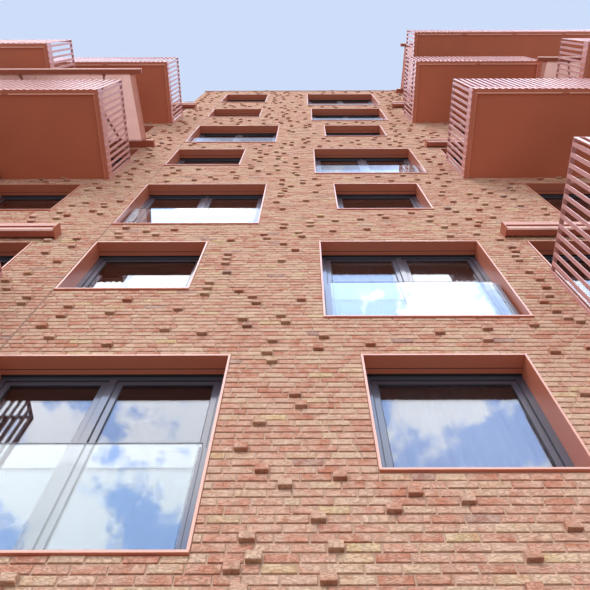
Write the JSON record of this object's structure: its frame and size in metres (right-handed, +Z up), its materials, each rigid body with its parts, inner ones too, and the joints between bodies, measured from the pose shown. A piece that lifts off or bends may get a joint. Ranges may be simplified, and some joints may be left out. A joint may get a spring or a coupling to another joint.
{
  "type": "brick apartment block",
  "caption": "Brick apartment block with metal-lined windows, cantilevered balconies with flat-bar railings, folding-arm awnings and a terrace over one wing.",
  "frame": {"origin": "on the ground at the middle of the plan of the outer walls", "axes": "+X to the right along the street front, +Y into the block, +Z up"},
  "size_m": [18.75, 14.192, 26.08],
  "materials": {
    "brick": "multi-coloured facing brick with pale mortar",
    "concrete": "plain cast concrete",
    "reveal_metal": "satin brick-pink powder coat",
    "coping_metal": "satin powder coat",
    "frame_metal": "satin anthracite powder coat",
    "glass": "clear double glazing",
    "balustrade_glass": "clear laminated glass",
    "curtain_cloth": "sheer white weave",
    "balcony_steel": "satin brick-pink powder coat",
    "soffit_panel": "matt brown-red panel",
    "railing_metal": "satin light pink powder coat",
    "awning_case": "satin brick-pink powder coat",
    "awning_cloth": "light pink woven awning cloth",
    "arm_metal": "satin brick-pink powder coat"
  },
  "bodies": {
    "root": {"ground_slab": "concrete", "floor_slab_1": "concrete", "floor_slab_2": "concrete", "floor_slab_3": "concrete", "floor_slab_4": "concrete", "floor_slab_5": "concrete", "floor_slab_6": "concrete", "floor_slab_7": "concrete", "roof_slab": "concrete", "front_wall_0": "brick", "front_wall_1": "brick", "front_wall_2": "brick", "front_wall_3": "brick", "front_wall_4": "brick", "front_wall_5": "brick", "front_wall_6": "brick", "front_wall_7": "brick", "back_wall_0_1": "brick", "back_wall_2_3": "brick", "back_wall_4_5": "brick", "back_wall_6_7": "brick", "left_party_wall": "brick", "right_party_wall": "brick", "setback_wall": "brick", "terrace_parapet": "brick", "copings": "coping_metal", "front_linings": "reveal_metal", "back_linings": "reveal_metal", "front_frames": "frame_metal", "back_frames": "frame_metal", "front_glass": "glass", "back_glass": "glass", "glass_balustrades": "balustrade_glass", "balustrade_posts": "frame_metal", "entrance_door": "frame_metal", "curtains": "curtain_cloth", "balcony_channels": "balcony_steel", "balcony_soffits": "soffit_panel", "railing_fronts": "railing_metal", "railing_ends": "railing_metal", "awning_cassettes": "awning_case", "awning_cloths": "awning_cloth", "awning_arms": "arm_metal", "awning_front_bars": "awning_case"}
  },
  "joints": []
}
